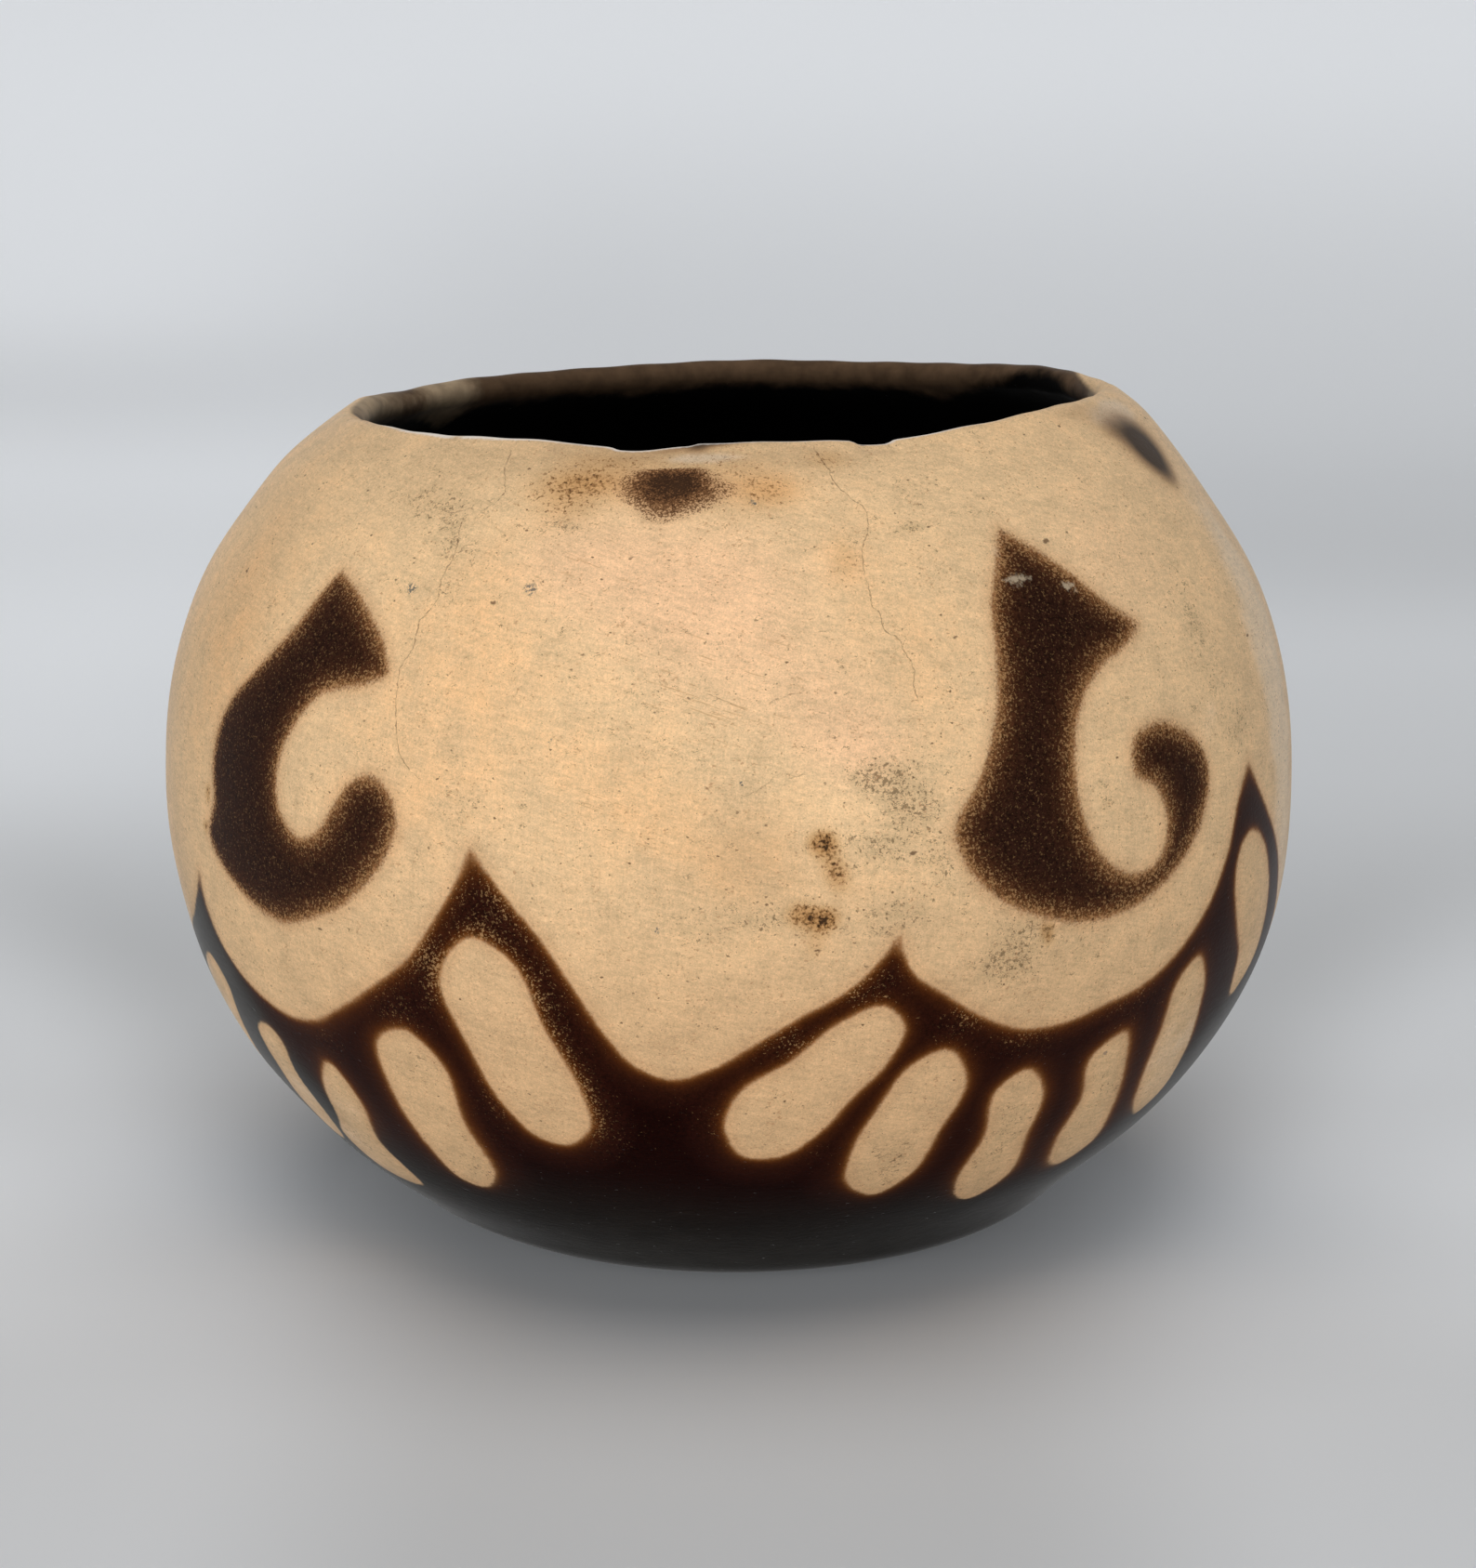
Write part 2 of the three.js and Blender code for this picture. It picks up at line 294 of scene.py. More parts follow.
# Where the edge of the paint is softest, and where it is speckled most
SOFT_EDGES = [
    (-37.4, 117.2, 6, 2.4, 0.9, 25), (-35.2, 103, 4, 2.6, 0.7), (30.4, 139, 6, 4, 1.2),
    (44.8, 124.2, 3, 3, 1.2), (46.4, 108, 5, 3, 1), (41.8, 104, 2, 3, 0.8), (48, 92, 4, 5, 0.5),
    (21, 94, 3, 8, 0.5), (-24, 94, 3, 4, 0.7), (15.4, 82, 2, 2, 0.6), (59.6, 97, 2, 4, 0.9),
    (-50, 79, 8, 2, 0.5), (-64, 76, 4, 9, 0.9), (-59.5, 94, 3, 12, 0.8), (-51, 120, 4, 9, 0.6),
    (-17, 58, 2.4, 8, 0.5, 20), (-28.4, 42, 1.6, 8, 0.4),
]
SPECKLED_PAINT = [
    (-22.5, 85, 6, 6, 1), (-17, 72, 4, 10, 0.9, 20), (-14.4, 56, 5, 8, 0.8, 10), (-28.6, 76, 5, 6, 1),
    (-33, 68, 6, 4, 0.9), (-25.4, 50, 3, 9, 0.6), (-12, 46, 4, 5, 0.6), (13, 75, 7, 4, 0.7),
    (6, 66, 6, 4, 0.7), (22, 68, 5, 3, 0.9), (-3, 52, 8, 6, 0.45), (30, 63, 8, 3, 0.7),
    (10, 44, 3, 3, 0.4), (-45, 58, 4, 3, 0.6), (44, 66, 8, 4, 0.5),
]

# What changes with the side alone: degrees, half spread in degrees, amount
SIDES = {
    # How many mm more of the clay stay unsooted inside the lip
    "unsooted": [
        (-129, 6, 4.5), (-104, 13, 2), (-146, 5, 1), (-166, 7, 1.5), (143, 6, 2.5), (117, 13, -4.5),
        (92, 6, 2), (0, 60, -3),
    ],
    # How pale the inside of the lip still is
    "pale_inside": [
        (-127, 7, 1), (-100, 15, 0.7), (-165, 8, 0.15), (90, 8, 0.6), (0, 62, 1),
    ],
    # How much smoke covers the lip itself
    "smoked_lip": [
        (180, 52, 1.6), (-128, 30, 1.1), (122, 16, 1.2), (-88, 12, 0.5),
    ],
    # How strong the painted highlight along the near side of the lip is
    "lip_highlight": [
        (-42, 20, 1), (-10, 14, 0.5), (22, 24, 0.55),
    ],
    # How many mm further soot and dust climb up the dark ground; at both sides in view their grey is also
    # a painted sheen
    "soot_and_sheen_climb": [
        (69, 13, 36), (-70, 17, 50), (150, 30, 12),
    ],
}
UNSOOTED_DEPTH = 4.4  # mm past the top of the lip

# Single marks by their kind: degrees, mm up, mm across
MARKS = {
    "blue_grey": [
        (-34.7, 131.9, 2), (-20.7, 133.3, 2.2), (-6.2, 84.4, 1.2), (-20.2, 155.4, 0.8), (2.9, 148.6, 0.9),
        (29.4, 95.8, 1.3), (-16.4, 111, 0.9), (1.2, 105.6, 0.8),
    ],
    "rust": [(25.7, 119.8, 0.6)],
    "bare": [
        (19.3, 29.6, 0.55), (25.7, 26.5, 0.5), (44.9, 62.9, 0.9), (41.5, 57.6, 0.8), (-4.6, 36.8, 0.4),
    ],
}

# Colours as they look in even light, except those marked as painted light, shade or sheen
OLIVE_SLIP = (232, 197, 152)
ORANGE_SLIP = (239, 188, 134)
PINK_SLIP = (240, 196, 154)
DULL_SLIP = (186, 154, 116)
# Painted shade: the slip as it looks low on the wall, where less light falls
LOW_SLIP_IN_SHADE = (211, 173, 130)
PALE_CLAY_AND_SHEEN = (222, 204, 180)
SHADED_SLIP = (196, 150, 108)
FOOT_DUST_AND_SHEEN = (52, 50, 47)
FOOT_SOOT = (27, 22, 19)
INNER_SOOT = (5, 4, 3)
DEEP_SOOT = (50, 42, 35)
INNER_BROWN = (92, 72, 54)
INNER_PALE = (172, 150, 122)
# Painted highlight on the lip's crest
LIP_HIGHLIGHT = (244, 234, 224)
RUBBED_CLAY = (184, 166, 140)
SPECK_GREY = (84, 66, 42)
SMEAR_GREY = (166, 146, 110)
STAIN_TAN = (192, 142, 84)
STAIN_BROWN = (124, 84, 46)
STAIN_CORE = (58, 40, 26)
PIT_FAINT = (176, 128, 90)
PIT_DARK = (92, 66, 46)
MARK_DARK = (172, 124, 80)
CRACK_DARK = (104, 74, 50)
CLOUD_TAN = (166, 120, 78)
CLOUD_BROWN = (96, 60, 34)
CLOUD_DARK = (46, 30, 20)
CLOUD_GREY = (58, 46, 37)
PAINT_FLECK = (190, 146, 98)
MARK_COLOURS = {"blue_grey": (88, 92, 90), "rust": (168, 74, 40), "bare": (150, 128, 108)}

# Smoke by its depth in mm inside the painted edge: on the ground, and in the thinner scrolls
GROUND_SMOKE = [
    (0, (163, 119, 80)), (0.35, (126, 83, 46)), (0.65, (101, 60, 27)), (1, (82, 43, 16)),
    (1.5, (67, 32, 11)), (2.2, (55, 25, 10)), (3.5, (43, 17, 8)), (6, (35, 11, 6)), (9, (24, 4, 2)),
]
SCROLL_SMOKE = [
    (0, (162, 122, 86)), (0.35, (136, 95, 62)), (0.65, (116, 78, 47)), (1, (101, 65, 38)),
    (1.5, (87, 54, 31)), (2.2, (73, 43, 25)), (3.5, (57, 32, 19)), (5, (49, 27, 17)), (7, (44, 24, 16)),
]


def smoothstep(value, low, high):
    share = np.clip((value - low) / (high - low), 0, 1)
    return share * share * (3 - 2 * share)


def bell(offset, spread):
    return np.exp(-(offset / spread) ** 2)


def degrees_apart(first, second):
    return (first - second + 180) % 360 - 180


def outer_face():
    """Distance, radius and height of close points up the outer face, from its foot to the mouth."""
    arc = np.linspace(0, math.radians(FOOT_FLARE), EDGE_STEPS)
    edge_radius = FOOT_RADIUS + FOOT_ROUNDING * np.sin(arc)
    edge_height = FOOT_ROUNDING * (1 - np.cos(arc))
    share = np.linspace(0, 1, WALL_STEPS)
    crossing = edge_height[-1] + (BELLY_RADIUS - edge_radius[-1]) * math.tan(arc[-1])
    rounding = 2 * share * (1 - share)
    lower_radius = (1 - share) ** 2 * edge_radius[-1] + (rounding + share**2) * BELLY_RADIUS
    lower_height = (1 - share) ** 2 * edge_height[-1] + rounding * crossing + share**2 * BELLY_HEIGHT
    power = 2 / SHOULDER_FULLNESS
    last_turn = math.acos((MOUTH_RADIUS / BELLY_RADIUS) ** (1 / power))
    rise = (MOUTH_HEIGHT - BELLY_HEIGHT) / math.sin(last_turn) ** power
    turn = np.linspace(0, last_turn, WALL_STEPS)
    upper_radius = BELLY_RADIUS * np.cos(turn) ** power
    upper_height = BELLY_HEIGHT + rise * np.sin(turn) ** power
    radius = np.concatenate([edge_radius, lower_radius[1:], upper_radius[1:]])
    height = np.concatenate([edge_height, lower_height[1:], upper_height[1:]])
    steps = np.hypot(np.diff(radius), np.diff(height))
    return np.concatenate([[0], np.cumsum(steps)]), radius, height


FACE_DISTANCE, FACE_RADIUS, FACE_HEIGHT = outer_face()
WALL_LENGTH = FACE_DISTANCE[-1]
RIM_START = WALL_LENGTH - RIM_COIL_WIDTH
COIL_WIDTH = (RIM_START - PAD_TURN_UP) / WALL_COILS
LIP_LENGTH = math.pi * LIP_THICKNESS / 2


# The way along a section runs from the middle of the underside, out to the foot's edge (0), up the
# outer face, over the lip, down the inner face and in to the middle of the floor.
LIP_START = WALL_LENGTH
LIP_CREST = LIP_START + LIP_LENGTH / 2
LIP_END = LIP_START + LIP_LENGTH


def inner_way(distance):
    """The way along the section to the inner face, opposite a distance up the outer face."""
    return LIP_END + WALL_LENGTH - distance


def distance_up(way):
    """The distance up the outer face that a way along the section lies at, on either face."""
    return np.where(way <= LIP_START, way, np.minimum(WALL_LENGTH, inner_way(way)))


def outer_point(distance):
    under = np.minimum(distance, 0)
    radius = np.interp(distance, FACE_DISTANCE, FACE_RADIUS) + under
    return radius, np.interp(distance, FACE_DISTANCE, FACE_HEIGHT)


def outward(distance):
    """Radial and upward part of the outer face's normal."""
    step = 0.2
    radius_after, height_after = outer_point(np.minimum(distance + step, WALL_LENGTH))
    radius_before, height_before = outer_point(np.minimum(distance, WALL_LENGTH - step) - step)
    along_radius = radius_after - radius_before
    along_height = height_after - height_before
    length = np.hypot(along_radius, along_height)
    return along_height / length, -along_radius / length


def thickness(distance):
    leaving_floor = smoothstep(distance, 0, PAD_TURN_UP + COIL_WIDTH)
    wall = FLOOR_THICKNESS + (WALL_THICKNESS - FLOOR_THICKNESS) * leaving_floor
    return wall + (LIP_THICKNESS - wall) * smoothstep(distance, RIM_START, WALL_LENGTH)


def section_point(way):
    """Radius and height of the even form, anywhere along the section."""
    distance = distance_up(way)
    radius, height = outer_point(distance)
    normal_radius, normal_height = outward(distance)
    turn = np.clip((way - LIP_START) / LIP_LENGTH, 0, 1) * math.pi
    inwards = thickness(distance) * (1 - np.cos(turn)) / 2
    upwards = LIP_THICKNESS / 2 * np.sin(turn)
    return (
        radius - normal_radius * inwards - normal_height * upwards,
        height - normal_height * inwards + normal_radius * upwards,
    )


def rim_move(degrees):
    """How far the hand moved the rim up or down at each side."""
    tilt = RIM_TILT * np.cos(np.radians(degrees - RIM_TILT_DIRECTION))
    wave = RIM_WAVE * np.cos(RIM_WAVES * np.radians(degrees - RIM_WAVE_DIRECTION))
    return tilt + wave


def clay_point(way, turn):
    """Where the clay is: the even form, made uneven by the hands that built it."""
    distance = distance_up(way)
    degrees = np.degrees(turn)
    radius, height = section_point(way)
    above_foot = smoothstep(height, 0, BELLY_HEIGHT)
    above_belly = smoothstep(height, BELLY_HEIGHT, MOUTH_HEIGHT)
    out = OVAL * above_foot * radius / BELLY_RADIUS * np.cos(2 * (turn - math.radians(OVAL_DIRECTION)))
    for side, up, spread, spread_up, swelling in SWELLINGS:
        beside = bell(degrees_apart(degrees, side), spread)
        out = out + swelling * beside * bell(distance - up, spread_up)
    wall = smoothstep(distance, 2, 30)
    # Shallow ripples that the hand left
    out = out + wall * 0.1 * np.sin(7 * turn + 1.3 + distance / 31) * np.sin(distance / 9.5 + 0.6)
    out = out + wall * 0.07 * np.sin(17 * turn - distance / 12 + 2.1) * np.cos(distance / 6.2)
    lift = rim_move(degrees) * above_belly
    near_rim = smoothstep(distance, WALL_LENGTH - RIM_REACH, WALL_LENGTH)
    for side, spread, rise in RIM_DIPS:
        lift = lift + rise * bell(degrees_apart(degrees, side), spread) * near_rim
    at_lip = smoothstep(distance, WALL_LENGTH - LIP_REACH, WALL_LENGTH)
    lift = lift + at_lip * 0.12 * np.sin(23 * turn + 0.7) * np.sin(11 * turn)
    for first, last, depth in LIP_CHIPS:
        begun = smoothstep(degrees, first - CHIP_EDGE, first + CHIP_EDGE)
        ended = smoothstep(degrees, last - CHIP_EDGE, last + CHIP_EDGE)
        lift = lift - depth * begun * (1 - ended) * at_lip
    radius = radius + out
    x = radius * np.sin(turn) + FOOT_SHIFT * (1 - above_foot)
    y = -radius * np.cos(turn)
    return np.stack([x, y, height + lift], axis=-1)


def clay_normal(way, turn):
    step_way = 0.25
    step_turn = 0.002
    off_axis = np.clip(way, 2 * step_way - FOOT_RADIUS, inner_way(-FOOT_RADIUS) - 2 * step_way)
    before = clay_point(off_axis - step_way, turn)
    after = clay_point(off_axis + step_way, turn)
    across = clay_point(off_axis, turn + step_turn) - clay_point(off_axis, turn - step_turn)
    normal = np.cross(across, after - before)
    return normal / np.linalg.norm(normal, axis=-1, keepdims=True)


def place_on_form(way, turn, point):
    """Where a point of the uneven clay lies on the even form: radians round, and mm up the outer face."""
    distance = distance_up(way)
    radius, height = outer_point(distance)
    normal_radius, normal_height = outward(distance)
    out = np.hypot(point[:, 0], point[:, 1]) - radius
    up = point[:, 2] - height
    return np.arctan2(point[:, 0], -point[:, 1]), distance - out * normal_height + up * normal_radius


def drawn(points, closed=True):
    """The line through given places: it bends smoothly at each, or has a corner at a sharp one."""
    steps = 6
    at = np.array([(math.radians(point[0]) * BELLY_RADIUS, point[1]) for point in points])
    sharp = [len(point) > 2 for point in points]
    count = len(at)
    links = count if closed else count - 1
    chord = np.roll(at, -1, axis=0) - at
    length = np.linalg.norm(chord, axis=1)
    line = []
    for i in range(links):
        j = (i + 1) % count
        before, after = (i - 1) % count, j
        start_bends = not sharp[i] and (closed or i > 0)
        end_bends = not sharp[j] and (closed or j < count - 1)
        speed = chord[i] / length[i]
        leaving = arriving = None
        if start_bends:
            other = chord[before] / length[before]
            leaving = (other * length[i] + speed * length[before]) / (length[i] + length[before])
        if end_bends:
            other = chord[after] / length[after]
            arriving = (other * length[i] + speed * length[after]) / (length[i] + length[after])
        if leaving is None:
            leaving = 1.5 * speed - 0.5 * (speed if arriving is None else arriving)
        if arriving is None:
            arriving = 1.5 * speed - 0.5 * leaving
        for t in np.arange(steps) / steps:
            bend_in = t * (1 - t) ** 2 * length[i]
            bend_out = t * t * (1 - t) * length[i]
            share = t * t * (3 - 2 * t)
            line.append(at[i] + chord[i] * share + leaving * bend_in - arriving * bend_out)
    if not closed:
        line.append(at[-1])
    return np.array(line) / (BELLY_RADIUS, 1)


class Places:
    """The clay's outer places, to measure painted outlines from."""

    def __init__(self, turn, up):
        self.turn = turn
        self.up = up
        self.radius = np.maximum(outer_point(up)[0], 1)

    def near(self, low, high, reach):
        """Which places lie within reach, in mm, of a box on the wall."""
        across = reach / self.radius
        sideways = (self.turn > low[0] - across) & (self.turn < high[0] + across)
        return np.nonzero(sideways & (self.up > low[1] - reach) & (self.up < high[1] + reach))[0]

    def link_distance(self, chosen, start, end):
        """Square of the distance to a straight link, the share along it, and the offsets to both ends."""
        radius = self.radius[chosen]
        start_x = (start[0] - self.turn[chosen]) * radius
        end_x = (end[0] - self.turn[chosen]) * radius
        start_y = start[1] - self.up[chosen]
        end_y = end[1] - self.up[chosen]
        along_x = end_x - start_x
        along_y = end_y - start_y
        square = np.maximum(along_x**2 + along_y**2, 1e-9)
        share = np.clip(-(start_x * along_x + start_y * along_y) / square, 0, 1)
        gap = (start_x + share * along_x) ** 2 + (start_y + share * along_y) ** 2
        side = along_x * start_y - along_y * start_x
        return gap, share, (start_x, start_y, end_x, end_y), side

    def depth_inside(self, line, reach=PAINT_REACH):
        """Signed distance to a closed outline in mm: positive inside, and -reach where it is far away."""
        result = np.full(len(self.turn), -float(reach))
        chosen = self.near(line.min(axis=0), line.max(axis=0), reach)
        nearest = np.full(len(chosen), np.inf)
        inside = np.zeros(len(chosen), bool)
        for start, end in zip(line, np.roll(line, -1, axis=0)):
            gap, _, (start_x, start_y, end_x, end_y), _ = self.link_distance(chosen, start, end)
            nearest = np.minimum(nearest, gap)
            crosses = (start_y > 0) != (end_y > 0)
            rise = np.where(crosses, end_y - start_y, 1)
            inside ^= crosses & (start_x - start_y * (end_x - start_x) / rise > 0)
        away = np.minimum(np.sqrt(nearest), reach)
        result[chosen] = np.where(inside, away, -away)
        return result

    def beside(self, line, reach=CRACK_REACH):
        """Signed distance to an open line in mm, and 1 where the nearest point isn't one of its ends."""
        distance = np.full(len(self.turn), float(reach))
        present = np.zeros(len(self.turn))
        chosen = self.near(line.min(axis=0), line.max(axis=0), reach)
        nearest = np.full(len(chosen), np.inf)
        signed = np.full(len(chosen), float(reach))
        within = np.zeros(len(chosen))
        last = len(line) - 2
        for i in range(len(line) - 1):
            gap, share, _, side = self.link_distance(chosen, line[i], line[i + 1])
            closer = gap < nearest
            past_end = ((share <= 0) & (i == 0)) | ((share >= 1) & (i == last))
            nearest = np.where(closer, gap, nearest)
            away = np.minimum(np.sqrt(gap), reach)
            signed = np.where(closer, np.where(side > 0, away, -away), signed)
            within = np.where(closer, ~past_end, within)
        distance[chosen] = signed
        present[chosen] = within
        return distance, present

    def patches(self, spots):
        """Sum of soft patches."""
        total = np.zeros(len(self.turn))
        for degrees, up, across, tall, strength, *lean in spots:
            x = np.radians(degrees_apart(np.degrees(self.turn), degrees)) * self.radius
            y = self.up - up
            tilt = math.radians(lean[0]) if lean else 0
            sideways = x * math.cos(tilt) + y * math.sin(tilt)
            upwards = y * math.cos(tilt) - x * math.sin(tilt)
            total += strength * np.exp(-(sideways / across) ** 2 - (upwards / tall) ** 2)
        return total


def moved_field(field, old_start, old_end, start, end):
    """A field of the dark ground's edge, moved and stretched so that its peaks lie elsewhere."""
    moved = []
    for point in field:
        share = (point[0] - old_start[0]) / (old_end[0] - old_start[0])
        old_chord = old_start[1] + share * (old_end[1] - old_start[1])
        chord = start[1] + share * (end[1] - start[1])
        degrees = start[0] + share * (end[0] - start[0])
        moved.append((degrees, point[1] - old_chord + chord, *point[2:]))
    return moved


def carried(points, middle, new_middle, stretch, lift):
    """An outline carried round the bowl, for the side that isn't seen."""
    return [(new_middle + (point[0] - middle) * stretch, point[1] + lift, *point[2:]) for point in points]


def ground_outline():
    """The dark ground's edge all the way round and once more on both sides, closed under the foot."""
    front = LEFT_SCROLL_FIELD + MIDDLE_FIELD + RIGHT_SCROLL_FIELD + NEXT_FIELD
    fields = (LEFT_SCROLL_FIELD, MIDDLE_FIELD, RIGHT_SCROLL_FIELD, NEXT_FIELD)
    left, middle, right, following = (field[0][:2] for field in fields)
    first, second, third, fourth = BACK_PEAKS
    behind_left = (left[0] + 360, left[1])
    back = moved_field(RIGHT_SCROLL_FIELD, right, following, first, second)
    back += moved_field(MIDDLE_FIELD, middle, right, second, third)
    back += moved_field(LEFT_SCROLL_FIELD, left, middle, third, fourth)
    back += moved_field(MIDDLE_FIELD, middle, right, fourth, behind_left)
    once = front + back
    chain = [(p[0] - 360, *p[1:]) for p in once] + once + [(p[0] + 360, *p[1:]) for p in once]
    past_half_round = 250
    chain = [p for p in chain if abs(p[0]) < past_half_round]
    line = drawn(chain, closed=False)
    far_below = -2 * FOOT_RADIUS
    return np.vstack([line, [line[-1, 0], far_below], [line[0, 0], far_below]])


def scrolls():
    return [
        LEFT_SCROLL,
        RIGHT_SCROLL,
        carried(RIGHT_SCROLL, RIGHT_MIDDLE, BACK_RIGHT_MIDDLE, 1.04, -2),
        carried(LEFT_SCROLL, LEFT_MIDDLE, BACK_LEFT_MIDDLE, 1.1, 2),
    ]


def strokes():
    right = [carried(stroke, RIGHT_MIDDLE, BACK_RIGHT_MIDDLE, 1.02, -1) for stroke in RIGHT_STROKES]
    left = [carried(stroke, LEFT_MIDDLE, BACK_LEFT_MIDDLE, 1.04, 1.5) for stroke in LEFT_STROKES]
    return LEFT_STROKES + RIGHT_STROKES + right + left


GROUND_LINE = ground_outline()
SCROLL_LINES = [drawn(outline) for outline in scrolls()]
STROKE_LINES = [drawn(outline) for outline in strokes()]
CRACK_LINES = [(drawn(points, closed=False), 1.0) for points in CRACKS]
CRACK_LINES += [(drawn(points, closed=False), 0.75) for points in SCRATCHES]


def bells_round(degrees, bells):
    """Sum of soft patches that depend on the direction alone."""
    return sum(strength * bell(degrees_apart(degrees, side), spread) for side, spread, strength in bells)


def surface_facts(way, turn, point):
    """What the materials read at each point of the clay."""
    outside = way <= LIP_END
    round_form, up = place_on_form(way, turn, point)
    places = Places(round_form, np.where(outside, up, -2 * FOOT_RADIUS))
    ground = places.depth_inside(GROUND_LINE)
    scroll = np.max([places.depth_inside(line) for line in SCROLL_LINES], axis=0)
    stroke = np.max([places.depth_inside(line) for line in STROKE_LINES], axis=0)
    smoked = np.maximum(ground, scroll)
    paint = np.minimum(smoked, -stroke) + places.patches(PAINT_MOVES)
    degrees = np.degrees(round_form)
    in_scroll = smoothstep(scroll, -3, -0.8)
    seen_aslant = smoothstep(np.abs(degrees), 18, 50)
    softness = 0.8 + 0.35 * seen_aslant + 0.35 * in_scroll + places.patches(SOFT_EDGES)
    speckle = np.clip(0.85 * in_scroll + places.patches(SPECKLED_PAINT), 0, 1)
    crack = np.full(len(turn), float(CRACK_REACH))
    crack_here = np.zeros(len(turn))
    for line, weight in CRACK_LINES:
        distance, present = places.beside(line)
        closer = np.abs(distance) < np.abs(crack)
        crack = np.where(closer, distance, crack)
        crack_here = np.where(closer, present * weight, crack_here)
    return {
        "paint": np.where(outside, paint, -PAINT_REACH),
        "in_scroll": in_scroll,
        "softness": softness,
        "speckle": speckle,
        "crack": crack,
        "crack_here": crack_here,
        "low_shade": smoothstep(up, 106, 62) * (1 - 0.6 * smoothstep(np.abs(degrees), 20, 60)),
        "past_lip": way - LIP_CREST,
        "up_wall": up,
    } | {
        fact: places.patches(spots) for fact, spots in PATCHES.items()
    } | {
        fact: bells_round(degrees, bells) for fact, bells in SIDES.items()
    }


def ways_between(start, end, row):
    return np.linspace(start, end, max(2, round(abs(end - start) / row)) + 1)


def clay_pieces():
    """Name, record's slot, outer ways and inner ways of each piece of clay."""
    pad_top = PAD_TURN_UP
    pieces = [(
        "base_pad", "smoked_clay",
        ways_between(-FOOT_RADIUS, pad_top, PAD_ROW),
        ways_between(inner_way(pad_top - LAP), inner_way(-FOOT_RADIUS), INNER_ROW),
    )]
    for i in range(WALL_COILS):
        start = pad_top + i * COIL_WIDTH
        end = start + COIL_WIDTH
        pieces.append((
            f"wall_coil_{i + 1}", "smoked_clay" if i == 0 else "cream_slip",
            ways_between(start, end, ROW),
            ways_between(inner_way(end - LAP), inner_way(start - LAP), INNER_ROW),
        ))
    over_lip = np.linspace(LIP_START, LIP_END, LIP_ROWS + 1)[1:-1]
    pieces.append((
        "rim_coil", "cream_slip",
        np.concatenate([ways_between(RIM_START, LIP_START, ROW), over_lip]),
        ways_between(LIP_END, inner_way(RIM_START - LAP), RIM_INNER_ROW),
    ))
    return pieces


class BakeMap:
    """Lays a piece's faces out in rows: each strip is folded into a few rows, with no overlap."""

    def __init__(self, strips):
        self.gap = 0.008
        total = sum(folds * (height * folds + self.gap) for height, folds in strips)
        self.scale = 1 / total
        self.strips = strips
        self.floor = 0.0

    def corners(self, strip, shares):
        """The strip's corners: rows by columns by the four corners of each quad, in the mesh's order."""
        height, folds = self.strips[strip]
        tall = height * folds * self.scale
        gap = self.gap * self.scale
        column = np.arange(COLUMNS)
        per_fold = COLUMNS // folds
        fold = column // per_fold
        left = (column % per_fold) / per_fold
        right = left + 1 / per_fold
        base = self.floor + fold * (tall + gap) + gap / 2
        low = base[None, :] + tall * shares[:-1, None]
        high = base[None, :] + tall * shares[1:, None]
        left = np.broadcast_to(left, low.shape)
        right = np.broadcast_to(right, low.shape)
        self.floor += folds * (tall + gap)
        quads = [np.stack(pair, -1) for pair in ((left, low), (right, low), (right, high), (left, high))]
        return np.stack(quads, axis=2)


def ring_quads(first_row, second_row):
    column = np.arange(COLUMNS)
    after = (column + 1) % COLUMNS
    low = first_row * COLUMNS
    high = second_row * COLUMNS
    return np.stack([low + column, low + after, high + after, high + column], axis=1)


